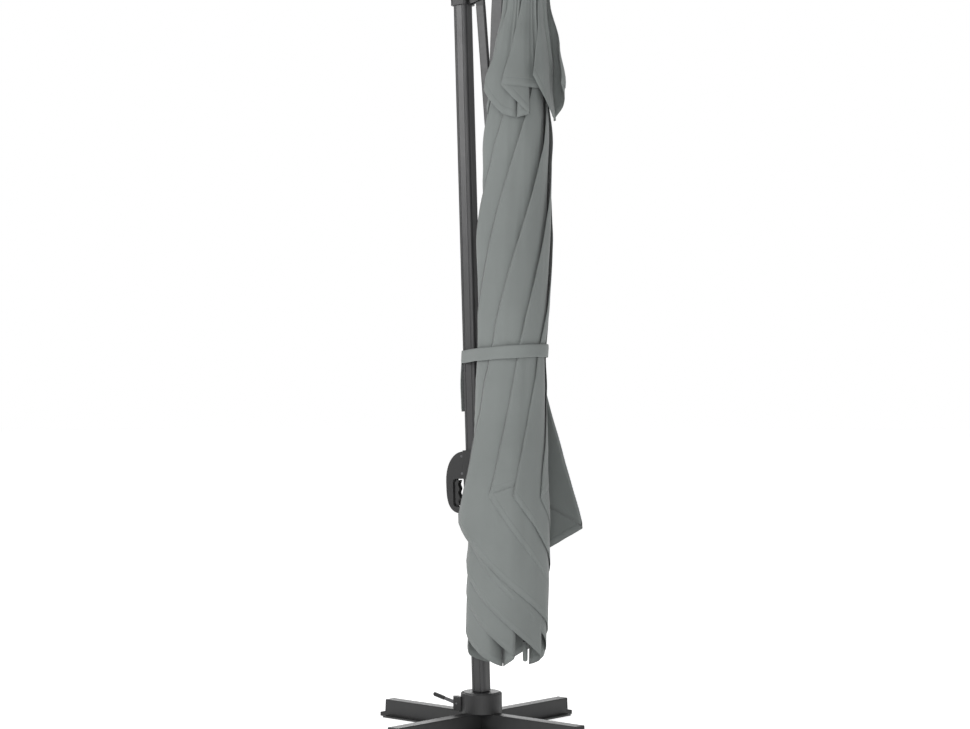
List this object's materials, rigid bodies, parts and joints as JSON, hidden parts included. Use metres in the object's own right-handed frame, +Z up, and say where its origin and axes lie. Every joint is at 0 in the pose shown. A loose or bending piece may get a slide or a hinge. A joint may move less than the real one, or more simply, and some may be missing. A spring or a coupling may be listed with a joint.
{
  "type": "cantilever parasol",
  "caption": "Folded cantilever parasol on a cross base: turning mast, sliding carriage with D-handle, lifting arm and a wrapped canopy tied to the mast.",
  "frame": {"origin": "middle of the base on the ground", "axes": "+Z up, +X from the mast towards the canopy"},
  "size_m": [0.8054, 0.8054, 2.4908],
  "materials": {
    "canopy_fabric": "woven polyester",
    "strap_fabric": "woven polyester band",
    "zinc_steel": "dark zinc",
    "black_plastic": "fine grain moulded",
    "mast_aluminium": "graphite powder coat",
    "frame_steel": "graphite powder coat",
    "base_steel": "graphite powder coat"
  },
  "bodies": {
    "base": {"base_centre_block": "base_steel", "base_arm_1": "base_steel", "base_arm_2": "base_steel", "base_arm_3": "base_steel", "base_arm_4": "base_steel", "arm_end_cap_1": "black_plastic", "arm_end_cap_2": "black_plastic", "arm_end_cap_3": "black_plastic", "arm_end_cap_4": "black_plastic", "pivot_housing": "base_steel", "base_spindle": "zinc_steel", "spindle_nut": "zinc_steel", "pedal_bracket": "base_steel", "pedal_pin": "zinc_steel"},
    "pedal": {"pedal_lever": "zinc_steel", "pedal_pad": "black_plastic"},
    "mast": {"turntable": "base_steel", "mast_tube": "mast_aluminium", "mast_bushing": "black_plastic", "mast_head": "base_steel", "mast_cap": "black_plastic", "strut_pin": "zinc_steel", "mast_stop_screw": "zinc_steel"},
    "strut": {"strut_tube": "frame_steel", "strut_head": "base_steel", "strut_foot": "base_steel"},
    "arm": {"arm_channel": "frame_steel", "arm_foot": "base_steel", "arm_head": "base_steel", "knee_pin": "zinc_steel", "arm_pin": "zinc_steel", "head_pin": "zinc_steel"},
    "carriage": {"carriage_shell_front": "black_plastic", "carriage_shell_back": "black_plastic", "glide_liner": "black_plastic", "handle_screw_upper": "zinc_steel", "handle_screw_lower": "zinc_steel"},
    "trigger": {"grip_trigger": "black_plastic"},
    "crank": {"winch_drum": "zinc_steel", "crank_arm": "black_plastic"},
    "knob": {"crank_knob": "black_plastic"},
    "yoke": {"hub_yoke": "base_steel"},
    "canopy": {"centre_pole": "frame_steel", "crown_hub": "base_steel", "crown_cap": "black_plastic", "runner": "black_plastic", "tilt_pin": "zinc_steel", "rib_1": "frame_steel", "rib_2": "frame_steel", "rib_3": "frame_steel", "rib_4": "frame_steel", "rib_5": "frame_steel", "rib_6": "frame_steel", "rib_7": "frame_steel", "rib_8": "frame_steel", "canopy_cover": "canopy_fabric", "vent_cover": "canopy_fabric", "tie_strap": "strap_fabric"}
  },
  "joints": [
    {"name": "mast_rotation", "type": "hinge", "parent": "base", "child": "mast", "pos_m": [0, 0, 0.1], "axis": [0, 0, 1], "continuous": true},
    {"name": "pedal_press", "type": "hinge", "parent": "base", "child": "pedal", "pos_m": [-0.06226, -0.04359, 0.081], "axis": [0.5736, -0.8192, 0], "range_deg": [0, 12], "stiffness_Nm_per_rad": 6, "springref_deg": -8.59},
    {"name": "arm_raise", "type": "hinge", "parent": "mast", "child": "strut", "pos_m": [-0.00461, 0, 2.20092], "axis": [0, -1, 0], "range_deg": [0, 55], "deforming": ["tie_strap"]},
    {"name": "knee", "type": "hinge", "parent": "strut", "child": "arm", "pos_m": [0.05588, 0, 1.49749], "axis": [0, -1, 0], "range_deg": [-110, 0]},
    {"name": "arm_foot_pivot", "type": "hinge", "parent": "arm", "child": "carriage", "pos_m": [0.04041, 0, 0.79164], "axis": [0, -1, 0], "range_deg": [0, 55]},
    {"name": "arm_head_pivot", "type": "hinge", "parent": "arm", "child": "yoke", "pos_m": [0.16068, 0, 2.47634], "axis": [0, -1, 0], "range_deg": [0, 55]},
    {"name": "canopy_tilt", "type": "hinge", "parent": "yoke", "child": "canopy", "pos_m": [0.1587, 0, 2.41437], "axis": [0, -1, 0], "range_deg": [0, 15], "deforming": ["tie_strap"]},
    {"name": "trigger_squeeze", "type": "slide", "parent": "carriage", "child": "trigger", "axis": [-0.9995, 0, -0.0319], "range_m": [0, 0.004], "stiffness_N_per_m": 1500, "springref_m": -0.002},
    {"name": "crank_turn", "type": "hinge", "parent": "carriage", "child": "crank", "pos_m": [-0.04978, 0.05, 0.73373], "axis": [0, 1, 0], "continuous": true},
    {"name": "knob_spin", "type": "hinge", "parent": "crank", "child": "knob", "pos_m": [-0.04739, 0.09, 0.65876], "axis": [0, 1, 0], "continuous": true}
  ],
  "couplings": [
    {"joint": "knee", "follows": "arm_raise", "ratio": -2},
    {"joint": "arm_foot_pivot", "follows": "arm_raise", "ratio": 1},
    {"joint": "arm_head_pivot", "follows": "arm_raise", "ratio": 1}
  ]
}
